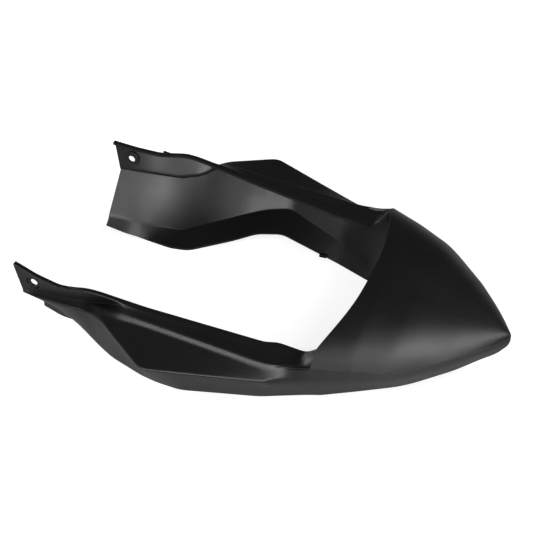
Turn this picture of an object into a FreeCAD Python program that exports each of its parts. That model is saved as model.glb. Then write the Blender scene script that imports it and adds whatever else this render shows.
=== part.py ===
import FreeCAD, Part
import os
from FreeCAD import Vector

# Tail fairing of a sports motorcycle: one moulded shell of black ABS.
# Two arms run forward on either side of the seat and carry one bolt hole each.
# Behind the seat they join in a low hump that ends in a blunt tail.
# The hollow side is underneath, and the shell rests on its lower edges.
#
# Sizes are in millimetres. A station is a distance behind the tips of the arms.
# An edge is given by stations with shares of the half width and of the height.

# Overall sizes: half the width over the wings, and the height of the arm tips
HALF_WIDTH = 192.8
HEIGHT = 99.0

# Moulding
WALL = 3.0
LIP_FRONT = 6.0
LIP_REAR = 6.5
LIP_END = 0.8
LIP_DROP = 0.5
BEAD = 0.8
# The end of each arm is this much thinner on both sides, where the hump's wall takes it up
TUCK = 0.3

# Lengths of the zones along the shell, from the arm tips to the tail
TIP_TO_ARCH = 26.0
ARCH_TO_DIP = 28.0
DIP_TO_RISE = 14.0
RISE_TO_PEAK = 17.0
PEAK_TO_FALL = 14.0
FALL_TO_RIDGE = 7.0
RIDGE_TO_FLARE = 18.0
FLARE_TO_SHOULDER = 26.0
SHOULDER_TO_WING = 22.0
WING_TO_KNEE = 28.0
KNEE_TO_STEP = 73.0
STEP_RUN = 9.0
STEP_TO_CREASE_END = 5.0
CREASE_FADE = 12.0
FADE_TO_RAMP = 14.0
RAMP_RUN = 14.5
HUMP_LENGTH = 165.5

X_TIP = 0.0
X_ARCH = X_TIP + TIP_TO_ARCH
X_DIP = X_ARCH + ARCH_TO_DIP
X_RISE = X_DIP + DIP_TO_RISE
X_PEAK = X_RISE + RISE_TO_PEAK
X_FALL = X_PEAK + PEAK_TO_FALL
X_RIDGE = X_FALL + FALL_TO_RIDGE
X_FLARE = X_RIDGE + RIDGE_TO_FLARE
X_SHOULDER = X_FLARE + FLARE_TO_SHOULDER
X_WING = X_SHOULDER + SHOULDER_TO_WING
X_KNEE = X_WING + WING_TO_KNEE
X_STEP = X_KNEE + KNEE_TO_STEP
X_STEP_END = X_STEP + STEP_RUN
X_CREASE_END = X_STEP_END + STEP_TO_CREASE_END
X_FADE = X_CREASE_END + CREASE_FADE
X_RAMP = X_FADE + FADE_TO_RAMP
X_HUMP = X_RAMP + RAMP_RUN
X_TAIL = X_HUMP + HUMP_LENGTH

# Long edges of an arm
SEAT_EDGE = [(X_TIP, 0.632, 1.000), (X_ARCH, 0.656, 0.939), (X_DIP, 0.675, 0.905),
             (X_RISE, 0.682, 0.927), (X_PEAK, 0.682, 0.962), (X_FALL, 0.679, 0.956),
             (X_FLARE, 0.674, 0.915), (X_SHOULDER, 0.665, 0.871), (X_WING, 0.654, 0.838),
             (X_STEP, 0.611, 0.704), (X_STEP_END, 0.599, 0.722), (X_RAMP, 0.594, 0.672),
             (X_HUMP, 0.631, 0.869)]
FLANGE_FOOT = [(X_TIP, 0.618, 0.662), (X_DIP, 0.623, 0.687), (X_PEAK, 0.621, 0.717),
               (X_RIDGE, 0.624, 0.778), (X_FLARE, 0.683, 0.884)]
RIDGE = [(X_RIDGE, 0.700, 0.823), (X_FLARE, 0.722, 0.855), (X_SHOULDER, 0.723, 0.844),
         (X_KNEE, 0.727, 0.794), (X_STEP, 0.729, 0.707), (X_CREASE_END, 0.727, 0.699),
         (X_RAMP, 0.720, 0.717), (X_HUMP, 0.721, 0.758)]
WING_EDGE = [(X_TIP, 0.622, 0.631), (X_ARCH, 0.651, 0.646), (X_DIP, 0.664, 0.655),
             (X_PEAK, 0.677, 0.682), (X_RIDGE, 0.742, 0.732), (X_FLARE, 0.822, 0.768),
             (X_WING, 1.000, 0.707), (X_CREASE_END, 0.799, 0.574), (X_HUMP, 0.669, 0.465)]
LOWER_CREASE = [(X_TIP, 0.428, 0.225), (X_ARCH, 0.442, 0.194), (X_DIP, 0.490, 0.116),
                (X_PEAK, 0.562, 0.006), (X_RIDGE, 0.638, 0.047), (X_SHOULDER, 0.761, 0.152),
                (X_WING, 0.808, 0.206), (X_KNEE, 0.842, 0.253), (X_STEP, 0.697, 0.162),
                (X_RAMP, 0.563, 0.090), (X_HUMP, 0.534, 0.086)]
BOTTOM_EDGE = [(X_TIP, 0.402, 0.101), (X_ARCH, 0.414, 0.036), (X_DIP, 0.407, 0.000),
               (X_PEAK, 0.385, 0.000), (X_RIDGE, 0.402, 0.000), (X_SHOULDER, 0.555, 0.051),
               (X_WING, 0.638, 0.091), (X_KNEE, 0.674, 0.111), (X_STEP, 0.591, 0.010),
               (X_RAMP, 0.508, 0.000), (X_HUMP, 0.482, 0.005)]

# Front edge of an arm in side view: share of the height, and how far it lies behind the tip
FRONT_EDGE = [(0.080, 3.5), (0.190, 6.0), (0.650, 6.5), (1.000, 0.0)]

# Hump: share of its length, then shares of half width and height
SIDE_CREASE = [(0.000, 0.721, 0.758), (0.211, 0.651, 0.719), (0.423, 0.568, 0.663),
               (0.508, 0.508, 0.646), (0.725, 0.324, 0.616), (0.861, 0.184, 0.586),
               (0.927, 0.109, 0.566), (0.970, 0.054, 0.554), (0.991, 0.024, 0.549),
               (1.000, 0.008, 0.548)]
TAIL_EDGE = [(0.000, 0.482, 0.005), (0.211, 0.407, 0.051), (0.423, 0.342, 0.121),
             (0.508, 0.306, 0.152), (0.725, 0.179, 0.232), (0.861, 0.075, 0.293),
             (0.927, 0.042, 0.328), (0.970, 0.023, 0.389), (0.991, 0.013, 0.430),
             (1.000, 0.005, 0.470)]
# Hump: share of its length, height of the crown and how square the arch over it is
CROWN = [(0.000, 0.975, 5.5), (0.211, 0.955, 4.6), (0.423, 0.894, 3.8), (0.508, 0.859, 3.5),
         (0.725, 0.753, 2.8), (0.861, 0.675, 2.5), (0.927, 0.630, 2.3), (0.970, 0.598, 2.2),
         (0.991, 0.575, 2.1), (1.000, 0.562, 2.0)]
HOLLOW_SHARE = 0.945
BOW = 17.5
BOW_SQUARE = 2.8
BOW_SHARES = [-1.0, -0.85, -0.7, -0.5, -0.25, 0.0, 0.25, 0.5, 0.7, 0.85, 1.0]
ARCH_STEPS = 18
ARCH_SPREAD = 0.8

# The ridge drops to the wing by this much outwards and down
STEP_OUT = 4.0
STEP_DOWN = 4.5
# Under the crown of the hump the skirt lies back by this much
CREASE_IN = 0.9
CREASE_DOWN = 1.6
# Shares of the shelf under the flange that stand for the ridge and its step
RIDGE_FADED = 0.08
STEP_FADED = 0.17
# The groove is outside only: the hollow side turns this far from the ridge to the wing edge
PLAIN_SHARE = 0.3
# Share of the shoulder at which the flange foot lies where the flange has faded out
FOOT_FADED = 0.3

# Reach of the rounds of the long edges, and how far along them a kink is eased
SEAT_ROUND = 1.2
FOOT_ROUND = 3.0
RIDGE_ROUND = 2.6
STEP_ROUND = 2.4
CREASE_ROUND = 0.7
WING_ROUND = 1.0
SKIRT_ROUND = 22.0
LOWER_ROUND = 2.5
EASING = 6.0
EASING_SAMPLES = 7
PITCH = 6.0

# Bolt hole in each arm: a recess outside, and a boss of the same depth inside
HOLE_RADIUS = 4.1
HOLE_STATION = 21.0
HOLE_HEIGHT = 79.6
RECESS_RADIUS = 7.0
RECESS_DEPTH = 2.2
RECESS_DRAFT = 1.2
BOSS_WALL = 2.2

# Tab on the rim of the flange, and clip tab on the bottom edge
RIM_TAB_STATION = 57.0
RIM_TAB_LENGTH = 9.0
RIM_TAB_HEIGHT = 2.4
CLIP_STATION = 251.0
CLIP_LENGTH = 8.0
CLIP_REACH = 6.0
CLIP_THICKNESS = 2.0
CLIP_HOOK = 3.5

NODE = "tail_fairing"


def on_line(points, place):
    """Values of an edge at a place along it, in line between its points."""
    for before, after in zip(points, points[1:]):
        if place <= after[0]:
            share = max(0.0, (place - before[0]) / (after[0] - before[0]))
            return [a + share * (b - a) for a, b in zip(before[1:], after[1:])]
    return list(points[-1][1:])


def on_edge(points, place):
    """Half width and height of an edge at a place along it."""
    across, up = on_line(points, place)
    return (across * HALF_WIDTH, up * HEIGHT)


def between(start, end, share):
    return tuple(a + share * (b - a) for a, b in zip(start, end))


def faded(station):
    """How far the wing edge has faded into the smooth skirt, from 0 to 1."""
    return min(1.0, max(0.0, (station - X_CREASE_END) / CREASE_FADE))


def lip_width(station):
    """Width of the lip along the seat, which ends at the hump."""
    if station > X_RAMP:
        return LIP_REAR + (station - X_RAMP) / RAMP_RUN * (LIP_END - LIP_REAR)
    return LIP_FRONT + (station - X_TIP) / (X_RAMP - X_TIP) * (LIP_REAR - LIP_FRONT)


def drawn_corners(station):
    """Corners of the outer skin of an arm, from the lip to the bottom edge."""
    seat = on_edge(SEAT_EDGE, station)
    wing = on_edge(WING_EDGE, station)
    lip = (seat[0] - lip_width(station), seat[1] - LIP_DROP)
    if station < X_FLARE:
        foot = on_edge(FLANGE_FOOT, station)
    if station < X_RIDGE:
        full_ridge = on_edge(RIDGE, X_RIDGE)
        grown = max(0.0, (station - X_PEAK) / (X_RIDGE - X_PEAK))
        ridge = between(between(foot, wing, RIDGE_FADED), full_ridge, grown)
        full_step = (full_ridge[0] + STEP_OUT, full_ridge[1] - STEP_DOWN)
        step = between(between(foot, wing, STEP_FADED), full_step, grown)
    else:
        ridge = on_edge(RIDGE, station)
        late = faded(station)
        step = (ridge[0] + STEP_OUT - late * (STEP_OUT + CREASE_IN),
                ridge[1] - STEP_DOWN + late * (STEP_DOWN - CREASE_DOWN))
    if station >= X_FLARE:
        foot = between((seat[0], seat[1] - BEAD), ridge, FOOT_FADED)
    lower = on_edge(LOWER_CREASE, station)
    bottom = on_edge(BOTTOM_EDGE, station)
    return [lip, seat, foot, ridge, step, wing, lower, bottom]


def arm_corners(station):
    """Corners of the outer skin of an arm, with the kinks of its long edges eased."""
    reach = min(EASING, station - X_TIP, X_HUMP - station)
    total = [[0.0, 0.0] for corner in range(8)]
    for sample in range(EASING_SAMPLES):
        spot = station + reach * (2.0 * sample / (EASING_SAMPLES - 1) - 1.0)
        for held, corner in zip(total, drawn_corners(spot)):
            held[0] += corner[0] / EASING_SAMPLES
            held[1] += corner[1] / EASING_SAMPLES
    return [tuple(held) for held in total]


def corner_rounds(station):
    """Reach of the round at each inner corner of the outer skin."""
    late = faded(station)
    ridge = RIDGE_ROUND + late * (CREASE_ROUND - RIDGE_ROUND)
    step = STEP_ROUND + late * (CREASE_ROUND - STEP_ROUND)
    wing = WING_ROUND + late * (SKIRT_ROUND - WING_ROUND)
    return [SEAT_ROUND, FOOT_ROUND, ridge, step, wing, LOWER_ROUND]


def offset_corners(corners, distance):
    """Corners moved to the hollow side by the wall, with mitred joints."""
    normals = []
    for (y0, z0), (y1, z1) in zip(corners, corners[1:]):
        length = ((y1 - y0) ** 2 + (z1 - z0) ** 2) ** 0.5
        normals.append(((z1 - z0) / length, -(y1 - y0) / length))
    ends = [corners[0], corners[-1]]
    moved = []
    for corner, normal in zip(ends, [normals[0], normals[-1]]):
        moved.append((corner[0] + distance * normal[0], corner[1] + distance * normal[1]))
    for corner, first, second in zip(corners[1:-1], normals, normals[1:]):
        scale = distance / (1.0 + first[0] * second[0] + first[1] * second[1])
        moved.insert(-1, (corner[0] + scale * (first[0] + second[0]),
                          corner[1] + scale * (first[1] + second[1])))
    return moved


def rounded(corners, rounds):
    """Points of a section along its corners, with each inner corner rounded."""
    points = [corners[0]]
    for index, reach in enumerate(rounds, start=1):
        corner = Vector(corners[index][0], corners[index][1], 0.0)
        before = Vector(corners[index - 1][0], corners[index - 1][1], 0.0) - corner
        after = Vector(corners[index + 1][0], corners[index + 1][1], 0.0) - corner
        enter = corner + before * (min(reach, 0.3 * before.Length) / before.Length)
        leave = corner + after * (min(reach, 0.3 * after.Length) / after.Length)
        middle = (enter + leave) * 0.25 + corner * 0.5
        points.extend([(enter.x, enter.y), (middle.x, middle.y), (leave.x, leave.y)])
    points.append(corners[-1])
    return points


def placed(station, point):
    """A section point in space, with the front edge's shape worked in at the tip."""
    near = max(0.0, 1.0 - (station - X_TIP) / TIP_TO_ARCH)
    back = on_line(FRONT_EDGE, point[1] / HEIGHT)[0]
    return Vector(station + near * back, point[0], point[1])


def long_curve(points, places):
    curve = Part.BSplineCurve()
    curve.interpolate(Points=points, Parameters=places)
    return curve


def strip(first, second):
    """Face ruled between two curves that have the same knots."""
    surface = Part.BSplineSurface()
    surface.buildFromPolesMultsKnots([first.getPoles(), second.getPoles()],
                                     [2, 2], first.getMultiplicities(),
                                     [0.0, 1.0], first.getKnots(),
                                     False, False, 1, first.Degree)
    return surface.toShape()


def arm():
    """One arm: strips ruled between long curves through the corners of its sections."""
    count = int(round((X_HUMP - X_TIP) / PITCH))
    places = [X_TIP + (X_HUMP - X_TIP) * index / count for index in range(count + 1)]
    outer = []
    inner = []
    for station in places:
        tuck = TUCK if station == places[-1] else 0.0
        corners = arm_corners(station)
        rounds = corner_rounds(station)
        skin = offset_corners(corners, tuck)
        plain = between(corners[3], corners[5], PLAIN_SHARE)
        corners[4] = between(corners[4], plain, faded(station))
        back = offset_corners(corners, WALL - tuck)
        outer.append([placed(station, p) for p in rounded(skin, rounds)])
        inner.append([placed(station, p) for p in rounded(back, rounds)])
    loop = [row + back[::-1] for row, back in zip(outer, inner)]
    rails = [long_curve(list(points), places) for points in zip(*loop)]
    faces = [strip(rail, following) for rail, following in zip(rails, rails[1:] + rails[:1])]
    for row in (loop[0], loop[-1]):
        half = len(row) // 2
        tops = [long_curve([row[n], row[n + 1]], [0.0, 1.0]) for n in range(half - 1)]
        unders = [long_curve([row[-1 - n], row[-2 - n]], [0.0, 1.0]) for n in range(half - 1)]
        faces.extend(strip(top, under) for top, under in zip(tops, unders))
    shell = Part.makeShell(faces)
    shell.sewShape()
    return Part.makeSolid(shell)


def drawn_hump(share):
    """Points of half a hump section: over the arch, then the corners of its skirt."""
    half, side = on_edge(SIDE_CREASE, share)
    top, square = on_line(CROWN, share)
    bottom = on_edge(TAIL_EDGE, share)
    first_side = on_edge(SIDE_CREASE, 0.0)
    first_bottom = on_edge(TAIL_EDGE, 0.0)
    small = (side - bottom[1]) / (first_side[1] - first_bottom[1])
    arch = []
    for step in range(ARCH_STEPS + 1):
        part = (step / ARCH_STEPS) ** ARCH_SPREAD
        arch.append((part * half, side + (top * HEIGHT - side) * (1.0 - part ** square)))
    crease = min(1.0, 2.0 * small)
    skirt = [(half - CREASE_IN * crease, side - CREASE_DOWN * crease)]
    for rail in (WING_EDGE, LOWER_CREASE):
        corner = on_edge(rail, X_HUMP)
        drop = (first_side[1] - corner[1]) / (first_side[1] - first_bottom[1])
        line = first_side[0] + drop * (first_bottom[0] - first_side[0])
        point = between((half, side), bottom, drop)
        skirt.append((point[0] + (corner[0] - line) * small, point[1]))
    return arch + skirt + [bottom]


def set_in(chain, inset):
    """Half section of the hollow: the arch drawn in, and the skirt without its crease."""
    top = chain[0][1]
    half, side = chain[ARCH_STEPS]
    corners = offset_corners(chain[ARCH_STEPS - 1:ARCH_STEPS + 1] + chain[ARCH_STEPS + 2:], inset)
    inner_half, inner_side = corners[1]
    rise = (top - inset - inner_side) / (top - side)
    arch = [(y * inner_half / half, inner_side + (z - side) * rise) for y, z in chain[:ARCH_STEPS]]
    return arch + corners[1:]


def hump_row(share, inset, below):
    """Points round a whole closed section of the hump, set in by a wall if asked."""
    reach = min(EASING / HUMP_LENGTH, share, 1.0 - share)
    chain = [[0.0, 0.0] for point in drawn_hump(share)]
    for sample in range(EASING_SAMPLES):
        spot = share + reach * (2.0 * sample / (EASING_SAMPLES - 1) - 1.0)
        for held, point in zip(chain, drawn_hump(spot)):
            held[0] += point[0] / EASING_SAMPLES
            held[1] += point[1] / EASING_SAMPLES
    station = X_HUMP + share * (HUMP_LENGTH - inset)
    first = ARCH_STEPS
    if inset:
        first = ARCH_STEPS - 1
        chain = set_in(chain, inset)
    run = Vector(chain[-1][0] - chain[-2][0], chain[-1][1] - chain[-2][1], 0.0).normalize()
    chain[-1] = (chain[-1][0] + below * run.x, chain[-1][1] + below * run.y)
    skirt = rounded(chain[first:], [CREASE_ROUND, SKIRT_ROUND, LOWER_ROUND])
    half = [Vector(station, y, z) for y, z in chain[:first] + skirt]
    return half + [Vector(p.x, -p.y, p.z) for p in half[:0:-1]]


def swept(rows, places):
    """Solid inside strips that run from section to section, with flat ends."""
    curves = [long_curve(list(points), places) for points in zip(*rows)]
    faces = [strip(curve, following) for curve, following in zip(curves, curves[1:] + curves[:1])]
    for row in (rows[0], rows[-1]):
        faces.append(Part.Face(Part.makePolygon(row + row[:1])))
    shell = Part.makeShell(faces)
    shell.sewShape()
    return Part.makeSolid(shell)


def hump():
    """Hollow hump from the arms' ends to the tail, with its bowed front edge."""
    count = int(round(HUMP_LENGTH / PITCH))
    shares = [index / count for index in range(count + 1)]
    outer = swept([hump_row(share, 0.0, 0.0) for share in shares], shares)
    deep = [share * HOLLOW_SHARE for share in shares]
    hollow = swept([hump_row(share, WALL, 2.0 * WALL) for share in deep], deep)
    half = on_edge(SEAT_EDGE, X_HUMP)[0] - LIP_END - TUCK
    front = [Vector(X_HUMP + BOW * (1.0 - abs(share) ** BOW_SQUARE), share * half, 0.5 * HEIGHT)
             for share in BOW_SHARES]
    bow = Part.BSplineCurve()
    bow.interpolate(front)
    outline = Part.Wire([bow.toShape(), Part.makeLine(front[-1], front[0])])
    seat = Part.Face(outline).extrude(Vector(0.0, 0.0, HEIGHT))
    return outer.cut(hollow).cut(seat)


def mirrored(shape):
    return shape.mirror(Vector(0.0, 0.0, 0.0), Vector(0.0, 1.0, 0.0))


def flange_skin(station, height):
    """Half width of the flange's outer face at a station and a height."""
    foot = on_edge(FLANGE_FOOT, station)
    seat = on_edge(SEAT_EDGE, station)
    share = (height - foot[1]) / (seat[1] - foot[1])
    return foot[0] + share * (seat[0] - foot[0])


def outside_flange():
    """Space outside the middle of the flange's wall, where the boss must not stand."""
    rows = []
    for station in (X_TIP, X_ARCH, X_DIP):
        foot = on_edge(FLANGE_FOOT, station)
        seat = on_edge(SEAT_EDGE, station)
        points = [Vector(station, foot[0] - 0.5 * WALL, foot[1]),
                  Vector(station, seat[0] - 0.5 * WALL, seat[1]),
                  Vector(station, seat[0] + 10.0 * WALL, seat[1]),
                  Vector(station, foot[0] + 10.0 * WALL, foot[1])]
        rows.append(Part.makePolygon(points + points[:1]))
    return Part.makeLoft(rows, True, True)


def bolt_boss():
    """Boss that carries the bottom of the recess on the inside of the flange."""
    floor = flange_skin(HOLE_STATION, HOLE_HEIGHT) - RECESS_DEPTH
    base = Vector(HOLE_STATION, floor - BOSS_WALL, HOLE_HEIGHT)
    rim = RECESS_RADIUS + BOSS_WALL
    depth = BOSS_WALL + 0.5 * RECESS_DEPTH
    boss = Part.makeCone(rim, rim + RECESS_DRAFT, depth, base, Vector(0.0, 1.0, 0.0))
    return boss.cut(outside_flange())


def bolt_cut():
    """Recess and hole for the bolt in the flange."""
    along = Vector(0.0, 1.0, 0.0)
    floor = flange_skin(HOLE_STATION, HOLE_HEIGHT) - RECESS_DEPTH
    start = Vector(HOLE_STATION, floor - 4.0 * WALL, HOLE_HEIGHT)
    drill = Part.makeCylinder(HOLE_RADIUS, 8.0 * WALL, start, along)
    mouth = Vector(HOLE_STATION, floor, HOLE_HEIGHT)
    wide = RECESS_RADIUS + 2.0 * RECESS_DRAFT
    recess = Part.makeCone(RECESS_RADIUS, wide, 2.0 * RECESS_DEPTH, mouth, along)
    return drill.fuse(recess)


def rim_tab():
    """Small wedge that stands up on the rim of the flange."""
    seat = arm_corners(RIM_TAB_STATION)[1]
    low = seat[1] - WALL
    inside = seat[0] - WALL
    points = [Vector(RIM_TAB_STATION, inside, low),
              Vector(RIM_TAB_STATION, inside, seat[1] + RIM_TAB_HEIGHT),
              Vector(RIM_TAB_STATION + RIM_TAB_LENGTH, inside, seat[1] + 0.3 * RIM_TAB_HEIGHT),
              Vector(RIM_TAB_STATION + RIM_TAB_LENGTH, inside, low)]
    outline = Part.makePolygon(points + points[:1])
    return Part.Face(outline).extrude(Vector(0.0, 0.8 * WALL, 0.0))


def clip_tab():
    """Hooked tab that reaches inwards from the bottom edge."""
    edge = arm_corners(CLIP_STATION)[-1]
    floor = max(0.0, edge[1])
    points = [Vector(CLIP_STATION, edge[0] + WALL, floor + 0.5 * WALL),
              Vector(CLIP_STATION, edge[0] - CLIP_REACH, floor + 0.5 * WALL),
              Vector(CLIP_STATION, edge[0] - CLIP_REACH, floor + 0.5 * WALL + CLIP_HOOK),
              Vector(CLIP_STATION, edge[0] - CLIP_REACH + CLIP_THICKNESS, floor + 0.5 * WALL + CLIP_HOOK),
              Vector(CLIP_STATION, edge[0] - CLIP_REACH + CLIP_THICKNESS, floor + 0.5 * WALL + CLIP_THICKNESS),
              Vector(CLIP_STATION, edge[0] + WALL, floor + 0.5 * WALL + CLIP_THICKNESS)]
    outline = Part.makePolygon(points + points[:1])
    return Part.Face(outline).extrude(Vector(CLIP_LENGTH, 0.0, 0.0))


def fairing():
    """The whole moulding, standing on its lower edges with its middle at the origin."""
    right_arm = arm().fuse([bolt_boss(), rim_tab(), clip_tab()]).cut(bolt_cut())
    shell = hump().fuse([right_arm, mirrored(right_arm)])
    shell.translate(Vector(-0.5 * (X_TIP + X_TAIL), 0.0, 0.0))
    return shell.Solids[0]


if __name__ == "__main__":
    os.makedirs("parts", exist_ok=True)
    fairing().exportStep("parts/" + NODE + ".step")
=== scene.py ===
"""Tail fairing of a sports motorcycle, one black moulding on a pale studio floor.

The moulding is drawn from the same named sizes as its solid. Its skin is swept
along smoothed long edges, given its wall, drilled, and finished as grained black
plastic. Sizes of the moulding are in millimetres and become metres in its mesh.
"""

import logging
import math
from collections.abc import Callable, Iterable
from dataclasses import dataclass
from enum import Enum, IntEnum

import bmesh
import bpy
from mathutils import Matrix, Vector

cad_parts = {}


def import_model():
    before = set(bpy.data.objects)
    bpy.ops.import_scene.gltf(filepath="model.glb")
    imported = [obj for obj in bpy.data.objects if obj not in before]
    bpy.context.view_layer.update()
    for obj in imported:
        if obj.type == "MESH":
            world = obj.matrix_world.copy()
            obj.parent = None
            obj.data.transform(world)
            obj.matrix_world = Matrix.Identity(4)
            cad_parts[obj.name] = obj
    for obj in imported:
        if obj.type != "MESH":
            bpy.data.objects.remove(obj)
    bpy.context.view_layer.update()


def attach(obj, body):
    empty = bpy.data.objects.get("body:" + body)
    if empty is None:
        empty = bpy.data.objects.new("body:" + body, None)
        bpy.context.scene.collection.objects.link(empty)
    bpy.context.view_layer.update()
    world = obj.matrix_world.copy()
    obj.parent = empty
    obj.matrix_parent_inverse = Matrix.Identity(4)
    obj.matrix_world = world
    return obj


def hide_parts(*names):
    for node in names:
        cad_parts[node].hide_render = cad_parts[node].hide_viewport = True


LOG = logging.getLogger("tail_fairing")
MM = 0.001
PHOTO_WIDTH = 533
WHITE = (1.0, 1.0, 1.0, 1.0)

Point2 = tuple[float, float]
HalfWidth = Callable[[float, float], float]


def level(half: float) -> HalfWidth:
    """Describe a flat face square to the axis of a bolt hole.

    Args:
        half: Half width of the face.

    Returns:
        A function of station and height that always gives that half width.
    """
    return lambda _station, _height: half


def linked(name: str, data: bpy.types.ID) -> bpy.types.Object:
    """Put data into the scene as an object.

    Args:
        name: Name of the object.
        data: Its mesh, lamp or camera.

    Returns:
        The object.
    """
    item = bpy.data.objects.new(name, data)
    bpy.context.scene.collection.objects.link(item)
    return item


def evaluated(item: bpy.types.Object, name: str) -> bpy.types.Mesh:
    """Make a plain mesh of an object as its modifiers show it.

    Args:
        item: Object with modifiers.
        name: Name of the mesh.

    Returns:
        The mesh, which needs no modifier.
    """
    bpy.context.view_layer.update()
    graph = bpy.context.evaluated_depsgraph_get()
    mesh = bpy.data.meshes.new_from_object(item.evaluated_get(graph))
    mesh.name = name
    return mesh


class Side(Enum):
    """The two mirrored halves of the moulding."""

    LEFT = -1
    RIGHT = 1


class Corner(IntEnum):
    """The corners of a section of the skin, from its lip round to its bottom edge."""

    LIP = 0
    SEAT = 1
    FOOT = 2
    RIDGE = 3
    STEP = 4
    WING = 5
    LOWER = 6
    BOTTOM = 7


@dataclass(frozen=True)
class Rail:
    """A long edge of the moulding as stations with a half width and a height."""

    points: tuple[tuple[float, float, float], ...]

    def at(self, station: float) -> Point2:
        """Find the edge at a station, in line between its points.

        Args:
            station: Distance behind the arm tips.

        Returns:
            Half width and height.
        """
        for before, after in zip(self.points, self.points[1:]):
            if station <= after[0]:
                share = max(0.0, (station - before[0]) / (after[0] - before[0]))
                return (before[1] + share * (after[1] - before[1]),
                        before[2] + share * (after[2] - before[2]))
        return self.points[-1][1:]


@dataclass(frozen=True)
class FairingShape:
    """Sizes of the moulding in millimetres and the lines that its skin follows."""

    wall: float = 3.0
    lip_front: float = 6.0
    lip_rear: float = 6.5
    lip_end: float = 0.8
    lip_drop: float = 0.5
    bead: float = 0.8
    tip_run: float = 26.0
    peak: float = 85.0
    ridge_start: float = 106.0
    flare: float = 124.0
    widest: float = 172.0
    crease_end: float = 287.0
    crease_fade: float = 12.0
    ramp: float = 313.0
    hump: float = 327.5
    tail: float = 493.0
    bow: float = 17.5
    bow_square: float = 2.8
    easing: float = 6.0
    easing_spots: int = 9
    step_out: float = 4.0
    step_down: float = 4.5
    crease_in: float = 1.5
    crease_down: float = 1.5
    groove_fade: float = 2.0
    ridge_faded: float = 0.08
    step_faded: float = 0.17
    foot_faded: float = 0.3
    seat_round: float = 2.8
    foot_round: float = 3.0
    ridge_round: float = 2.6
    step_round: float = 2.4
    crease_round: float = 0.5
    wing_round: float = 3.0
    skirt_round: float = 22.0
    lower_round: float = 2.5
    no_round: float = 0.001
    seat_edge: Rail = Rail(((0.0, 121.8, 99.0), (26.0, 126.4, 93.0), (54.0, 130.2, 89.6),
                            (68.0, 131.4, 91.8), (85.0, 131.5, 95.2), (99.0, 131.0, 94.6),
                            (124.0, 129.9, 90.6), (150.0, 128.2, 86.2), (172.0, 126.0, 83.0),
                            (273.0, 117.8, 69.7), (282.0, 115.4, 71.5), (313.0, 114.5, 66.5),
                            (327.5, 121.6, 86.0)))
    flange_foot: Rail = Rail(((0.0, 119.2, 65.5), (54.0, 120.2, 68.0), (85.0, 119.8, 71.0),
                              (106.0, 120.4, 77.0), (124.0, 131.6, 87.5)))
    ridge: Rail = Rail(((106.0, 135.0, 81.5), (124.0, 139.2, 84.6), (150.0, 139.4, 83.6),
                        (200.0, 140.2, 78.6), (273.0, 140.6, 70.0), (287.0, 140.2, 69.2),
                        (313.0, 138.8, 71.0), (327.5, 139.0, 75.0), (362.4, 125.5, 71.2),
                        (397.5, 109.5, 65.6), (411.6, 98.0, 64.0), (447.5, 62.5, 61.0),
                        (470.0, 35.5, 58.0), (481.0, 21.0, 56.0), (488.0, 10.5, 54.8),
                        (491.5, 4.6, 54.4), (493.0, 1.5, 54.3)))
    wing: Rail = Rail(((0.0, 120.0, 62.5), (26.0, 125.5, 64.0), (54.0, 128.0, 64.8),
                       (85.0, 130.5, 67.5), (106.0, 143.0, 72.5), (124.0, 158.5, 76.0),
                       (172.0, 192.8, 70.0), (287.0, 154.0, 56.8), (327.5, 129.0, 46.0)))
    lower: Rail = Rail(((0.0, 82.5, 22.3), (26.0, 85.3, 19.2), (54.0, 94.5, 11.5),
                        (85.0, 108.3, 0.6), (106.0, 123.0, 4.7), (150.0, 146.8, 15.0),
                        (172.0, 155.8, 20.4), (200.0, 162.4, 25.0), (273.0, 134.3, 16.0),
                        (313.0, 108.5, 8.9), (327.5, 103.0, 8.5)))
    bottom: Rail = Rail(((0.0, 77.5, 10.0), (26.0, 79.8, 3.6), (54.0, 78.5, 0.0),
                         (85.0, 74.3, 0.0), (106.0, 77.5, 0.0), (150.0, 107.0, 5.0),
                         (172.0, 123.0, 9.0), (200.0, 130.0, 11.0), (273.0, 114.0, 1.0),
                         (313.0, 98.0, 0.0), (327.5, 93.0, 0.5), (362.4, 78.5, 5.0),
                         (397.5, 66.0, 12.0), (411.6, 59.0, 15.0), (447.5, 34.5, 23.0),
                         (470.0, 14.5, 29.0), (481.0, 8.1, 32.5), (488.0, 4.4, 38.5),
                         (491.5, 2.5, 42.6), (493.0, 1.0, 46.5)))
    crown: Rail = Rail(((327.5, 96.5, 5.5), (362.4, 94.5, 4.6), (397.5, 88.5, 3.8),
                        (411.6, 85.0, 3.5), (447.5, 74.5, 2.8), (470.0, 66.8, 2.5),
                        (481.0, 62.4, 2.3), (488.0, 59.2, 2.2), (491.5, 56.9, 2.1),
                        (493.0, 55.6, 2.0)))
    front: Rail = Rail(((8.0, 3.5, 0.0), (19.0, 6.0, 0.0), (64.0, 6.5, 0.0), (99.0, 0.0, 0.0)))
    hole_station: float = 21.0
    hole_height: float = 79.6
    hole_radius: float = 4.1
    recess_radius: float = 7.0
    recess_depth: float = 2.2
    recess_draft: float = 1.2
    boss_wall: float = 2.2
    boss_edge: float = 0.4
    boss_overlap: float = 0.3
    rim_tab_station: float = 57.0
    rim_tab_length: float = 9.0
    rim_tab_height: float = 2.4
    rim_tab_low_end: float = 0.3
    rim_tab_width: float = 0.8
    clip_station: float = 251.0
    clip_length: float = 8.0
    clip_reach: float = 6.0
    clip_thickness: float = 2.0
    clip_hook: float = 3.5

    def faded(self, station: float) -> float:
        """Find how far the wing edge has faded into the smooth skirt.

        Args:
            station: Distance behind the arm tips.

        Returns:
            Share from 0 to 1.
        """
        return min(1.0, max(0.0, (station - self.crease_end) / self.crease_fade))

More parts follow.
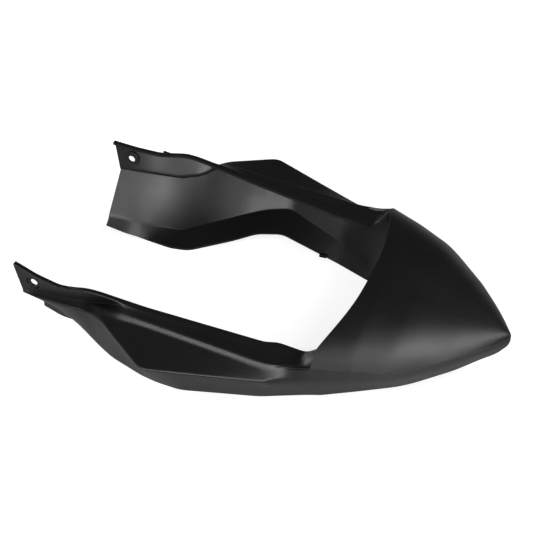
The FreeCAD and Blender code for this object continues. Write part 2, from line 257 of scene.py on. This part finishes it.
    def raw_corners(self, station: float) -> list[Point2]:
        """Find the skin's corners at a station before they are eased.

        Args:
            station: Distance behind the arm tips.

        Returns:
            Lip, seat edge, flange foot, ridge, step, wing edge, lower crease and bottom edge.
        """
        seat = self.seat_edge.at(station)
        bottom = self.bottom.at(station)
        width = self.lip_front + min(1.0, station / self.ramp) * (self.lip_rear - self.lip_front)
        if station > self.ramp:
            share = min(1.0, (station - self.ramp) / (self.hump - self.ramp))
            width += share * (self.lip_end - width)
        lip = (seat[0] - width, seat[1] - self.lip_drop)
        if station > self.hump:
            return [lip, seat, seat] + self.hump_corners(station)
        wing = self.wing.at(station)
        foot = self.flange_foot.at(station)
        if station < self.ridge_start:
            full = self.ridge.at(self.ridge_start)
            grown = max(0.0, (station - self.peak) / (self.ridge_start - self.peak))
            ridge = self.between(self.between(foot, wing, self.ridge_faded), full, grown)
            full = (full[0] + self.step_out, full[1] - self.step_down)
            step = self.between(self.between(foot, wing, self.step_faded), full, grown)
        else:
            ridge = self.ridge.at(station)
            late = self.faded(station)
            step = (ridge[0] + self.step_out - late * (self.step_out + self.crease_in),
                    ridge[1] - self.step_down + late * (self.step_down - self.crease_down))
        if station >= self.flare:
            foot = self.between((seat[0], seat[1] - self.bead), ridge, self.foot_faded)
        return [lip, seat, foot, ridge, step, wing, self.lower.at(station), bottom]

    @staticmethod
    def between(start: Point2, end: Point2, share: float) -> Point2:
        """Find the point at a share of the way from one point to another.

        Args:
            start: First point.
            end: Last point.
            share: Share of the way.

        Returns:
            The point.
        """
        return (start[0] + share * (end[0] - start[0]), start[1] + share * (end[1] - start[1]))

    def hump_corners(self, station: float) -> list[Point2]:
        """Carry the skirt's corners from the hump's start to a station behind it.

        Args:
            station: Distance behind the arm tips.

        Returns:
            Side crease, the groove under it, wing edge, lower crease and bottom edge.
        """
        ridge = self.ridge.at(station)
        bottom = self.bottom.at(station)
        top = self.ridge.at(self.hump)
        base = self.bottom.at(self.hump)
        small = (ridge[1] - bottom[1]) / (top[1] - base[1])
        groove = min(1.0, self.groove_fade * small)
        corners = [ridge, (ridge[0] - self.crease_in * groove,
                           ridge[1] - self.crease_down * groove)]
        for rail in (self.wing, self.lower):
            corner = rail.at(self.hump)
            drop = (top[1] - corner[1]) / (top[1] - base[1])
            line = top[0] + drop * (base[0] - top[0])
            point = self.between(ridge, bottom, drop)
            corners.append((point[0] + (corner[0] - line) * small, point[1]))
        return corners + [bottom]

    def corners(self, station: float) -> list[Point2]:
        """Find the skin's corners at a station, with the kinks of its long edges eased.

        Args:
            station: Distance behind the arm tips.

        Returns:
            The eight corners.
        """
        reach = min(self.easing, station, self.tail - station, abs(self.hump - station))
        count = self.easing_spots
        total = [[0.0, 0.0] for _ in self.raw_corners(station)]
        for index in range(count):
            spot = station + reach * (2.0 * index / (count - 1) - 1.0)
            for held, corner in zip(total, self.raw_corners(spot)):
                held[0] += corner[0] / count
                held[1] += corner[1] / count
        return [(held[0], held[1]) for held in total]

    def reaches(self, station: float) -> list[float]:
        """List how far the round of each inner corner reaches at a station.

        Args:
            station: Distance behind the arm tips.

        Returns:
            Reaches at the seat edge, flange foot, ridge, step, wing edge and lower crease.
        """
        late = self.faded(station)
        ridge = self.ridge_round + late * (self.crease_round - self.ridge_round)
        if station >= self.hump:
            ridge = self.no_round
        return [self.seat_round, self.foot_round, ridge,
                self.step_round + late * (self.crease_round - self.step_round),
                self.wing_round + late * (self.skirt_round - self.wing_round), self.lower_round]

    def flange_skin(self, station: float, height: float) -> float:
        """Find the half width of the flange's outer face.

        Args:
            station: Distance behind the arm tips.
            height: Height above the floor.

        Returns:
            Half width of the face there.
        """
        foot = self.flange_foot.at(station)
        seat = self.seat_edge.at(station)
        return foot[0] + (height - foot[1]) / (seat[1] - foot[1]) * (seat[0] - foot[0])

    def arch(self, share: float, station: float) -> float:
        """Find the height of the hump over a share of its half width.

        Args:
            share: Share of the half width, from 0 at the middle to 1 at the side.
            station: Distance behind the arm tips.

        Returns:
            Height of the skin.
        """
        side = self.ridge.at(station)[1]
        top, square = self.crown.at(station)
        return side + (top - side) * (1.0 - abs(share) ** square)

    def place(self, station: float, half: float, height: float) -> Vector:
        """Find where a point of a section lies in the part's frame.

        Args:
            station: Distance behind the arm tips.
            half: Half width, negative on the left.
            height: Height above the floor.

        Returns:
            The point in metres.
        """
        return Vector((station - 0.5 * self.tail, half, height)) * MM


class SkinBuilder:
    """Sweeps the outer skin of the moulding as grids of four-sided faces.

    Steps and distances are in millimetres.
    """

    row_step = 3.0
    last_row = 1.5
    round_parts = 6
    round_limit = 0.35
    arm_runs = (1, 2, 2, 1, 4, 6, 3)
    skirt_runs = (1, 4, 6, 3)
    arch_parts = 28
    arch_spread = 0.85
    join_distance = 0.04

    def __init__(self, shape: FairingShape) -> None:
        """Keep the sizes and start an empty skin.

        Args:
            shape: Sizes and long edges of the moulding.
        """
        self.shape = shape
        self.mesh = bmesh.new()

    def stations(self, start: float, end: float) -> list[float]:
        """Divide a stretch of the moulding evenly, in steps no longer than the row step.

        Args:
            start: First station.
            end: Last station.

        Returns:
            The stations with both ends.
        """
        count = max(1, math.ceil((end - start) / self.row_step))
        return [start + (end - start) * index / count for index in range(count + 1)]

    def rounded(self, corners: list[Point2], reaches: list[float],
                runs: tuple[int, ...]) -> list[Point2]:
        """Place the points of a section along its corners with rounds at the inner ones.

        Args:
            corners: Corners of the section.
            reaches: Reach of the round at each inner corner.
            runs: Number of parts that each straight run is divided into.

        Returns:
            Points from the first corner to the last.
        """
        points: list[Point2] = []
        start = Vector(corners[0])
        for index, reach in enumerate(reaches, start=1):
            corner = Vector(corners[index])
            before = Vector(corners[index - 1]) - corner
            after = Vector(corners[index + 1]) - corner
            cut_before = min(reach, self.round_limit * before.length)
            cut_after = min(reach, self.round_limit * after.length)
            enter = corner + before * (cut_before / before.length)
            leave = corner + after * (cut_after / after.length)
            for part in range(runs[index - 1]):
                points.append(tuple(start.lerp(enter, part / runs[index - 1])))
            for part in range(self.round_parts):
                t = part / self.round_parts
                spot = enter * (1 - t) ** 2 + corner * (2 * t * (1 - t)) + leave * t ** 2
                points.append(tuple(spot))
            start = leave
        last = Vector(corners[-1])
        for part in range(runs[-1] + 1):
            points.append(tuple(start.lerp(last, part / runs[-1])))
        return points

    def grid(self, rows: list[list[Vector]]) -> None:
        """Add a grid of faces whose outside is the moulding's outside.

        Args:
            rows: Points, row by row, from the front to the tail.
        """
        verts = [[self.mesh.verts.new(point) for point in row] for row in rows]
        for front, rear in zip(verts, verts[1:]):
            for a, b, c, d in zip(front, front[1:], rear[1:], rear):
                self.mesh.faces.new((d, c, b, a))

    def arm(self) -> None:
        """Sweep one arm from its tip to the hump."""
        shape = self.shape
        rows = []
        for station in self.stations(0.0, shape.hump):
            section = self.rounded(shape.corners(station), shape.reaches(station), self.arm_runs)
            near = max(0.0, 1.0 - station / shape.tip_run)
            rows.append([shape.place(station + near * shape.front.at(z)[0], y, z)
                         for y, z in section])
        self.grid(rows)

    def hump(self) -> None:
        """Sweep half of the hump and the skirt below its side crease."""
        shape = self.shape
        half = shape.seat_edge.at(shape.hump)[0]
        outer = shape.ridge.at(shape.hump)[0]
        steps = sorted(self.stations(shape.hump, shape.tail) + [shape.tail - self.last_row])
        shares = [(index / self.arch_parts) ** self.arch_spread
                  for index in range(self.arch_parts + 1)]
        rows = []
        for station in steps:
            advance = (shape.tail - station) / (shape.tail - shape.hump)
            row = []
            for share in shares:
                edge = min(1.0, share * outer / half)
                moved = station + advance * shape.bow * (1.0 - edge ** shape.bow_square)
                width = shape.corners(moved)[Corner.RIDGE][0]
                row.append(shape.place(moved, share * width, shape.arch(share, moved)))
            rows.append(row)
        self.grid(rows)
        rows = []
        for station in steps:
            section = self.rounded(shape.corners(station)[Corner.RIDGE:],
                                   shape.reaches(station)[Corner.STEP - Corner.SEAT:],
                                   self.skirt_runs)
            rows.append([shape.place(station, y, z) for y, z in section])
        self.grid(rows)

    def build(self) -> bpy.types.Mesh:
        """Sweep the skin of one half and join its grids.

        Returns:
            The half skin as a mesh with no thickness.
        """
        self.arm()
        self.hump()
        bmesh.ops.remove_doubles(self.mesh, verts=self.mesh.verts, dist=self.join_distance * MM)
        mesh = bpy.data.meshes.new("fairing_half_skin")
        self.mesh.to_mesh(mesh)
        self.mesh.free()
        return mesh


class MirrorNodes:
    """Node group that adds the other half of a shape that is symmetric about y = 0."""

    name = "mirrored_halves"

    def __init__(self) -> None:
        """Start with no sockets known."""
        self.sockets: dict[str, str] = {}

    def build(self) -> bpy.types.NodeTree:
        """Make the node group.

        Returns:
            The group, whose inputs are the half, a join distance and the finish.
        """
        tree = bpy.data.node_groups.new(self.name, "GeometryNodeTree")
        face = tree.interface
        face.new_socket("Half", in_out="INPUT", socket_type="NodeSocketGeometry")
        join = face.new_socket("Join distance", in_out="INPUT", socket_type="NodeSocketFloat")
        finish = face.new_socket("Finish", in_out="INPUT", socket_type="NodeSocketMaterial")
        face.new_socket("Whole", in_out="OUTPUT", socket_type="NodeSocketGeometry")
        self.sockets = {"join": join.identifier, "finish": finish.identifier}
        entry = tree.nodes.new("NodeGroupInput")
        turned = tree.nodes.new("GeometryNodeTransform")
        turned.inputs["Scale"].default_value = (1.0, -1.0, 1.0)
        flipped = tree.nodes.new("GeometryNodeFlipFaces")
        joined = tree.nodes.new("GeometryNodeJoinGeometry")
        merged = tree.nodes.new("GeometryNodeMergeByDistance")
        real = tree.nodes.new("GeometryNodeRealizeInstances")
        coated = tree.nodes.new("GeometryNodeSetMaterial")
        leave = tree.nodes.new("NodeGroupOutput")
        links = tree.links
        links.new(entry.outputs["Half"], turned.inputs["Geometry"])
        links.new(turned.outputs["Geometry"], flipped.inputs["Mesh"])
        links.new(flipped.outputs["Mesh"], joined.inputs["Geometry"])
        links.new(entry.outputs["Half"], joined.inputs["Geometry"])
        links.new(joined.outputs["Geometry"], merged.inputs["Geometry"])
        links.new(entry.outputs["Join distance"], merged.inputs["Distance"])
        links.new(merged.outputs["Geometry"], real.inputs["Geometry"])
        links.new(real.outputs["Geometry"], coated.inputs["Geometry"])
        links.new(entry.outputs["Finish"], coated.inputs["Material"])
        links.new(coated.outputs["Geometry"], leave.inputs["Whole"])
        return tree

    def apply(self, half: bpy.types.Object, finish: bpy.types.Material, join: float) -> None:
        """Put the group on an object that holds one half.

        Args:
            half: Object with the half shape.
            finish: Material of the whole.
            join: Distance in metres within which the halves' edge points are joined.
        """
        modifier = half.modifiers.new(self.name, "NODES")
        modifier.node_group = self.build()
        modifier[self.sockets["join"]] = join
        modifier[self.sockets["finish"]] = finish


@dataclass(frozen=True)
class GrainedPlastic:
    """Black moulded plastic with a fine grain and an uneven satin sheen."""

    name: str = "grained_black_plastic"
    dark: tuple[float, float, float, float] = (0.0045, 0.0045, 0.0048, 1.0)
    worn: tuple[float, float, float, float] = (0.0080, 0.0080, 0.0084, 1.0)
    refraction: float = 1.5
    sheen_low: float = 0.28
    sheen_high: float = 0.36
    noise_low: float = 0.7
    noise_high: float = 1.3
    grain_scale: float = 1250.0
    grain_detail: float = 2.0
    grain_depth: float = 0.4
    grain_height: float = 0.0005
    flow_scale: float = 7.0
    flow_detail: float = 4.0
    flow_distortion: float = 0.6
    scuff_scale: float = 60.0
    scuff_detail: float = 6.0
    scuff_roughness: float = 0.65
    scuff_stretch: tuple[float, float, float] = (0.25, 1.0, 1.0)

    def build(self) -> bpy.types.Material:
        """Make the material.

        Returns:
            A procedural material on Object coordinates.
        """
        material = bpy.data.materials.new(self.name)
        material.use_nodes = True
        nodes = material.node_tree.nodes
        links = material.node_tree.links
        shader = nodes["Principled BSDF"]
        shader.inputs["IOR"].default_value = self.refraction
        coordinates = nodes.new("ShaderNodeTexCoord")
        flow = nodes.new("ShaderNodeTexNoise")
        flow.inputs["Scale"].default_value = self.flow_scale
        flow.inputs["Detail"].default_value = self.flow_detail
        flow.inputs["Distortion"].default_value = self.flow_distortion
        tint = nodes.new("ShaderNodeMix")
        tint.data_type = "RGBA"
        tint.inputs["A"].default_value = self.dark
        tint.inputs["B"].default_value = self.worn
        stretch = nodes.new("ShaderNodeMapping")
        stretch.inputs["Scale"].default_value = self.scuff_stretch
        scuff = nodes.new("ShaderNodeTexNoise")
        scuff.inputs["Scale"].default_value = self.scuff_scale
        scuff.inputs["Detail"].default_value = self.scuff_detail
        scuff.inputs["Roughness"].default_value = self.scuff_roughness
        both = nodes.new("ShaderNodeMath")
        both.operation = "ADD"
        sheen = nodes.new("ShaderNodeMapRange")
        sheen.inputs["From Min"].default_value = self.noise_low
        sheen.inputs["From Max"].default_value = self.noise_high
        sheen.inputs["To Min"].default_value = self.sheen_low
        sheen.inputs["To Max"].default_value = self.sheen_high
        grain = nodes.new("ShaderNodeTexNoise")
        grain.inputs["Scale"].default_value = self.grain_scale
        grain.inputs["Detail"].default_value = self.grain_detail
        bump = nodes.new("ShaderNodeBump")
        bump.inputs["Strength"].default_value = self.grain_depth
        bump.inputs["Distance"].default_value = self.grain_height
        links.new(coordinates.outputs["Object"], flow.inputs["Vector"])
        links.new(coordinates.outputs["Object"], stretch.inputs["Vector"])
        links.new(stretch.outputs["Vector"], scuff.inputs["Vector"])
        links.new(coordinates.outputs["Object"], grain.inputs["Vector"])
        links.new(flow.outputs["Fac"], tint.inputs["Factor"])
        links.new(tint.outputs["Result"], shader.inputs["Base Color"])
        links.new(flow.outputs["Fac"], both.inputs[0])
        links.new(scuff.outputs["Fac"], both.inputs[1])
        links.new(both.outputs["Value"], sheen.inputs["Value"])
        links.new(sheen.outputs["Result"], shader.inputs["Roughness"])
        links.new(grain.outputs["Fac"], bump.inputs["Height"])
        links.new(bump.outputs["Normal"], shader.inputs["Normal"])
        return material


class FairingMoulding:
    """The black moulding that stands for the solid tail_fairing.

    Distances are in millimetres and angles in degrees.
    """

    name = "tail_fairing_moulding"
    node = "tail_fairing"
    slot = "moulding"
    segments = 48
    seam = 0.05
    drill_length = 12.0
    halves_join = 0.05
    double_distance = 0.02
    thin_distance = 0.01
    edge_width = 1.25
    edge_parts = 3
    edge_angle = 62.0
    crease_angle = 50.0
    panel_weight = 80
    tip_margin = 0.05
    tail_margin = 0.02
    side_share = 0.99995

    def __init__(self, shape: FairingShape, finish: GrainedPlastic) -> None:
        """Keep the sizes and the finish.

        Args:
            shape: Sizes and long edges of the moulding.
            finish: Finish of the plastic.
        """
        self.shape = shape
        self.finish = finish

    def ring(self, mesh: bmesh.types.BMesh, side: Side, radius: float,
             half: HalfWidth) -> list[bmesh.types.BMVert]:
        """Add a ring of points about the axis of a bolt hole.

        Args:
            mesh: Mesh that takes the points.
            side: Half of the moulding.
            radius: Radius of the ring.
            half: Gives the half width at a station and a height.

        Returns:
            The points of the ring.
        """
        shape = self.shape
        verts = []
        for index in range(self.segments):
            angle = 2.0 * math.pi * index / self.segments
            station = shape.hole_station + radius * math.cos(angle)
            height = shape.hole_height + radius * math.sin(angle)
            point = shape.place(station, side.value * half(station, height), height)
            verts.append(mesh.verts.new(point))
        return verts

    def turned(self, mesh: bmesh.types.BMesh, rings: list[list[bmesh.types.BMVert]],
               closed: bool) -> None:
        """Join rings into a closed shape.

        Args:
            mesh: Mesh that takes the faces.
            rings: The rings in order.
            closed: Whether the last ring joins the first, or both ends are capped.
        """
        following = rings[1:] + rings[:1] if closed else rings[1:]
        for first, second in zip(rings, following):
            for quad in zip(first, first[1:] + first[:1], second[1:] + second[:1], second):
                mesh.faces.new(quad)
        if not closed:
            mesh.faces.new(rings[0])
            mesh.faces.new(rings[-1])
        bmesh.ops.recalc_face_normals(mesh, faces=mesh.faces)

    def recess_floor(self) -> float:
        """Find the half width of the flat floor of the dished recess.

        Returns:
            Half width of the floor.
        """
        shape = self.shape
        return shape.flange_skin(shape.hole_station, shape.hole_height) - shape.recess_depth

    def drill(self) -> bpy.types.Object:
        """Make the shape that cuts both bolt holes and their dished recesses.

        Returns:
            The cutting shape.
        """
        shape = self.shape
        floor = self.recess_floor()
        narrow = shape.hole_radius + self.seam
        wide = shape.recess_radius + 2.0 * shape.recess_draft
        steps = ((narrow, floor - self.drill_length),
                 (narrow, floor - self.seam),
                 (shape.recess_radius, floor - self.seam),
                 (wide, floor + 2.0 * shape.recess_depth))
        mesh = bmesh.new()
        for side in Side:
            rings = [self.ring(mesh, side, radius, level(half)) for radius, half in steps]
            self.turned(mesh, rings, False)
        data = bpy.data.meshes.new("drill")
        mesh.to_mesh(data)
        mesh.free()
        return linked("drill", data)

    def bosses(self, mesh: bmesh.types.BMesh) -> None:
        """Add the boss behind each recess, which ends inside the flange's wall.

        Args:
            mesh: Mesh of the moulding that takes the bosses.
        """
        shape = self.shape
        floor = self.recess_floor()
        back = floor - shape.boss_wall
        rim = shape.recess_radius + shape.boss_wall
        steps = ((shape.hole_radius, level(back)),
                 (rim - shape.boss_edge, level(back)),
                 (rim, level(back + shape.boss_edge)),
                 (rim, lambda x, z: shape.flange_skin(x, z) - 0.5 * shape.wall),
                 (shape.recess_radius + shape.boss_overlap, level(floor)),
                 (shape.hole_radius, level(floor)))
        for side in Side:
            piece = bmesh.new()
            rings = [self.ring(piece, side, radius, half) for radius, half in steps]
            self.turned(piece, rings, True)
            data = bpy.data.meshes.new("boss")
            piece.to_mesh(data)
            piece.free()
            mesh.from_mesh(data)
            bpy.data.meshes.remove(data)

    def rim_tab_corners(self) -> list[tuple[float, float, float]]:
        """Place the corners of the wedge tab on the right arm's seat edge.

        Returns:
            Corners as station, half width and height.
        """
        shape = self.shape
        seat = shape.corners(shape.rim_tab_station)[Corner.SEAT]
        inside = seat[0] - shape.wall
        outside = inside + shape.rim_tab_width * shape.wall
        low = seat[1] - shape.wall
        first = shape.rim_tab_station
        last = first + shape.rim_tab_length
        wedge = ((first, low), (first, seat[1] + shape.rim_tab_height),
                 (last, seat[1] + shape.rim_tab_low_end * shape.rim_tab_height), (last, low))
        return [(x, y, z) for y in (inside, outside) for x, z in wedge]

    def clip_tab_corners(self) -> list[list[tuple[float, float, float]]]:
        """Place the corners of the right arm's clip tab.

        Returns:
            Corners of its plate and of its hook, as station, half width and height.
        """
        shape = self.shape
        edge = shape.corners(shape.clip_station)[Corner.BOTTOM]
        low = max(0.0, edge[1]) + 0.5 * shape.wall
        reach = edge[0] - shape.clip_reach
        ends = (shape.clip_station, shape.clip_station + shape.clip_length)
        parts = ((edge[0] + shape.wall, shape.clip_thickness),
                 (reach + shape.clip_thickness, shape.clip_hook))
        return [[(x, y, z) for x in ends
                 for y, z in ((near, low), (reach, low), (reach, low + top), (near, low + top))]
                for near, top in parts]

    def tabs(self, work: bmesh.types.BMesh) -> None:
        """Add the tab on the rim and the hooked clip tab of both arms.

        Args:
            work: Mesh of the moulding that takes the tabs.
        """
        boxes = [self.rim_tab_corners(), *self.clip_tab_corners()]
        shape = self.shape
        for side in Side:
            for box in boxes:
                verts = [work.verts.new(shape.place(x, side.value * y, z)) for x, y, z in box]
                hull = bmesh.ops.convex_hull(work, input=verts)
                faces = [item for item in hull["geom"] if isinstance(item, bmesh.types.BMFace)]
                bmesh.ops.recalc_face_normals(work, faces=faces)

    def with_flat_panels(self, mesh: bpy.types.Mesh) -> bpy.types.Object:
        """Shade the panels flat up to their rounded creases.

        Args:
            mesh: Mesh of the whole moulding.

        Returns:
            Object with the shaded mesh.
        """
        rough = linked("fairing_panels", mesh)
        weighted = rough.modifiers.new("flat_panels", "WEIGHTED_NORMAL")
        weighted.mode = "FACE_AREA"
        weighted.weight = self.panel_weight
        weighted.keep_sharp = True
        shaded = evaluated(rough, self.name)
        bpy.data.objects.remove(rough)
        return linked(self.name, shaded)

    def walled(self, finish: bpy.types.Material) -> bpy.types.Mesh:
        """Mirror the half skin, give it its wall, break its edges and drill it.

        Args:
            finish: Material of the plastic.

        Returns:
            The wall of the moulding.
        """
        skin = linked("fairing_skin", SkinBuilder(self.shape).build())
        MirrorNodes().apply(skin, finish, self.halves_join * MM)
        wall = skin.modifiers.new("wall", "SOLIDIFY")
        wall.thickness = self.shape.wall * MM
        wall.offset = -1.0
        wall.use_even_offset = True
        wall.use_quality_normals = True
        soft = skin.modifiers.new("broken_edges", "BEVEL")
        soft.width = self.edge_width * MM
        soft.segments = self.edge_parts
        soft.limit_method = "ANGLE"
        soft.angle_limit = math.radians(self.edge_angle)
        tool = self.drill()
        cut = skin.modifiers.new("bolt_holes", "BOOLEAN")
        cut.operation = "DIFFERENCE"
        cut.solver = "FAST"
        cut.object = tool
        mesh = evaluated(skin, "fairing_wall")
        for spare in (skin, tool):
            bpy.data.objects.remove(spare)
        return mesh

    def complete(self, mesh: bpy.types.Mesh) -> None:
        """Clear the wall of doubled points and slivers, and add the bosses and the tabs.

        Args:
            mesh: Wall of the moulding.
        """
        work = bmesh.new()
        work.from_mesh(mesh)
        bmesh.ops.remove_doubles(work, verts=work.verts, dist=self.double_distance * MM)
        bmesh.ops.dissolve_degenerate(work, dist=self.thin_distance * MM, edges=work.edges)
        self.bosses(work)
        self.tabs(work)
        work.to_mesh(mesh)
        work.free()

    def hold_inside(self, mesh: bpy.types.Mesh) -> None:
        """Move any point that lies outside the solid's box onto it.

        Args:
            mesh: Mesh of the whole moulding.
        """
        shape = self.shape
        front = shape.place(self.tip_margin, 0.0, 0.0).x
        rear = shape.place(shape.tail - self.tail_margin, 0.0, 0.0).x
        near_widest = (shape.widest - 1.0, shape.widest, shape.widest + 1.0)
        widest = max(shape.corners(spot)[Corner.WING][0] for spot in near_widest)
        side = self.side_share * widest * MM
        for vertex in mesh.vertices:
            vertex.co.x = min(max(vertex.co.x, front), rear)
            vertex.co.y = min(max(vertex.co.y, -side), side)
            vertex.co.z = max(vertex.co.z, 0.0)

    def build(self) -> bpy.types.Object:
        """Build the moulding and let it stand for its solid.

        Returns:
            The finished piece.
        """
        finish = self.finish.build()
        mesh = self.walled(finish)
        self.complete(mesh)
        self.hold_inside(mesh)
        mesh.shade_smooth()
        mesh.set_sharp_from_angle(angle=math.radians(self.crease_angle))
        mesh.materials.clear()
        mesh.materials.append(finish)
        piece = self.with_flat_panels(mesh)
        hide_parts(self.node)
        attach(piece, "root")
        LOG.info("moulding: %d faces", len(piece.data.polygons))
        return piece


@dataclass(frozen=True)
class SoftLamp:
    """A rectangular softbox aimed at the moulding. Sizes are in metres and power in watts."""

    name: str
    place: tuple[float, float, float]
    size: tuple[float, float]
    power: float
    target: tuple[float, float, float] = (0.0, 0.0, 0.03)

    def build(self) -> bpy.types.Object:
        """Hang the softbox.

        Returns:
            The lamp.
        """
        data = bpy.data.lights.new(self.name, "AREA")
        data.shape = "RECTANGLE"
        data.size, data.size_y = self.size
        data.energy = self.power
        lamp = linked(self.name, data)
        lamp.location = self.place
        aim = Vector(self.target) - Vector(self.place)
        lamp.rotation_euler = aim.to_track_quat("-Z", "Y").to_euler()
        return lamp


@dataclass(frozen=True)
class Studio:
    """Pale floor, plain soft light and the camera of the photograph. Sizes are in metres."""

    floor_half: float = 6.0
    floor_colour: tuple[float, float, float, float] = (0.38, 0.38, 0.38, 1.0)
    painted_glow_near: float = 0.8
    painted_glow_reach: tuple[float, float] = (0.24, 0.42)
    ceiling: float = 0.03
    camera_place: tuple[float, float, float] = (0.4151, -1.1393, 1.0388)
    azimuth: float = 20.735
    elevation: float = 38.5
    focal_pixels: float = 1485.35
    sensor_width: float = 36.0
    clip_start: float = 0.05
    clip_end: float = 50.0
    lamps: tuple[SoftLamp, ...] = (
        SoftLamp("near_low_softbox", (-0.15, -2.04, 0.78), (2.3, 0.66), 34.0),
        SoftLamp("near_high_softbox", (0.1, -1.73, 1.3), (1.7, 0.5), 11.0),
        SoftLamp("near_top_softbox", (-0.5, -1.25, 1.73), (0.8, 0.5), 7.5),
        SoftLamp("right_softbox", (1.5, 0.4, 1.56), (1.0, 0.9), 19.8),
        SoftLamp("right_high_softbox", (1.1, -0.5, 1.8), (0.8, 0.8), 7.5),
        SoftLamp("right_low_strip", (1.25, -1.78, 0.35), (1.0, 0.5), 13.5),
        SoftLamp("right_fill", (1.8, -0.96, 0.82), (0.8, 0.6), 4.5),
        SoftLamp("far_low_strip", (-1.89, 1.09, 0.31), (0.9, 0.5), 7.0),
    )

    def floor(self) -> bpy.types.Object:
        """Lay the pale floor with a painted glow to the camera, dimmer near the moulding and
        rising to white away from it.

        Returns:
            The floor.
        """
        reach = self.floor_half
        mesh = bpy.data.meshes.new("studio_floor")
        mesh.from_pydata([(-reach, -reach, 0.0), (reach, -reach, 0.0), (reach, reach, 0.0),
                          (-reach, reach, 0.0)], [], [(0, 1, 2, 3)])
        material = bpy.data.materials.new("pale_floor")
        material.use_nodes = True
        nodes = material.node_tree.nodes
        links = material.node_tree.links
        nodes.remove(nodes["Principled BSDF"])
        paint = nodes.new("ShaderNodeBsdfDiffuse")
        paint.inputs["Color"].default_value = self.floor_colour
        glow = nodes.new("ShaderNodeEmission")
        path = nodes.new("ShaderNodeLightPath")
        spot = nodes.new("ShaderNodeTexCoord")
        away = nodes.new("ShaderNodeVectorMath")
        away.operation = "LENGTH"
        # Painted light: the floor glows to the camera alone, dimmer near the moulding so its
        # shadows show, rising to white away from it.
        rise = nodes.new("ShaderNodeMapRange")
        rise.interpolation_type = "SMOOTHSTEP"
        rise.inputs["From Min"].default_value = self.painted_glow_reach[0]
        rise.inputs["From Max"].default_value = self.painted_glow_reach[1]
        rise.inputs["To Min"].default_value = self.painted_glow_near
        rise.inputs["To Max"].default_value = 1.0
        lift = nodes.new("ShaderNodeMath")
        lift.operation = "MULTIPLY"
        both = nodes.new("ShaderNodeAddShader")
        links.new(spot.outputs["Object"], away.inputs[0])
        links.new(away.outputs["Value"], rise.inputs["Value"])
        links.new(path.outputs["Is Camera Ray"], lift.inputs[0])
        links.new(rise.outputs["Result"], lift.inputs[1])
        links.new(lift.outputs["Value"], glow.inputs["Strength"])
        links.new(paint.outputs["BSDF"], both.inputs[0])
        links.new(glow.outputs["Emission"], both.inputs[1])
        links.new(both.outputs["Shader"], nodes["Material Output"].inputs["Surface"])
        mesh.materials.append(material)
        floor = linked("studio_floor", mesh)
        return floor

    def world(self) -> None:
        """Make the room white to the camera and dim to the moulding."""
        world = bpy.data.worlds.new("studio_room")
        world.use_nodes = True
        nodes = world.node_tree.nodes
        links = world.node_tree.links
        room = nodes["Background"]
        room.inputs["Color"].default_value = WHITE
        path = nodes.new("ShaderNodeLightPath")
        strength = nodes.new("ShaderNodeMapRange")
        strength.inputs["To Min"].default_value = self.ceiling
        strength.inputs["To Max"].default_value = 1.0
        links.new(path.outputs["Is Camera Ray"], strength.inputs["Value"])
        links.new(strength.outputs["Result"], room.inputs["Strength"])
        bpy.context.scene.world = world

    def camera(self) -> bpy.types.Object:
        """Set the camera where the photograph was taken from.

        Returns:
            The camera.
        """
        data = bpy.data.cameras.new("photo_camera")
        data.sensor_fit = "HORIZONTAL"
        data.sensor_width = self.sensor_width
        data.lens = self.focal_pixels / PHOTO_WIDTH * data.sensor_width
        data.clip_start = self.clip_start
        data.clip_end = self.clip_end
        camera = linked("photo_camera", data)
        camera.location = self.camera_place
        camera.rotation_euler = (math.radians(90.0 - self.elevation), 0.0,
                                 math.radians(self.azimuth))
        bpy.context.scene.camera = camera
        return camera

    def build(self) -> None:
        """Set up the floor, the room, the lamps and the camera."""
        self.floor()
        self.world()
        for lamp in self.lamps:
            lamp.build()
        self.camera()
        bpy.context.scene.view_settings.view_transform = "Standard"
        LOG.info("studio: %d lamps", len(self.lamps))


def main() -> None:
    """Build the moulding and the studio."""
    logging.basicConfig(level=logging.INFO, format="%(name)s: %(message)s")
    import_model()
    FairingMoulding(FairingShape(), GrainedPlastic()).build()
    Studio().build()


if __name__ == "__main__":
    main()
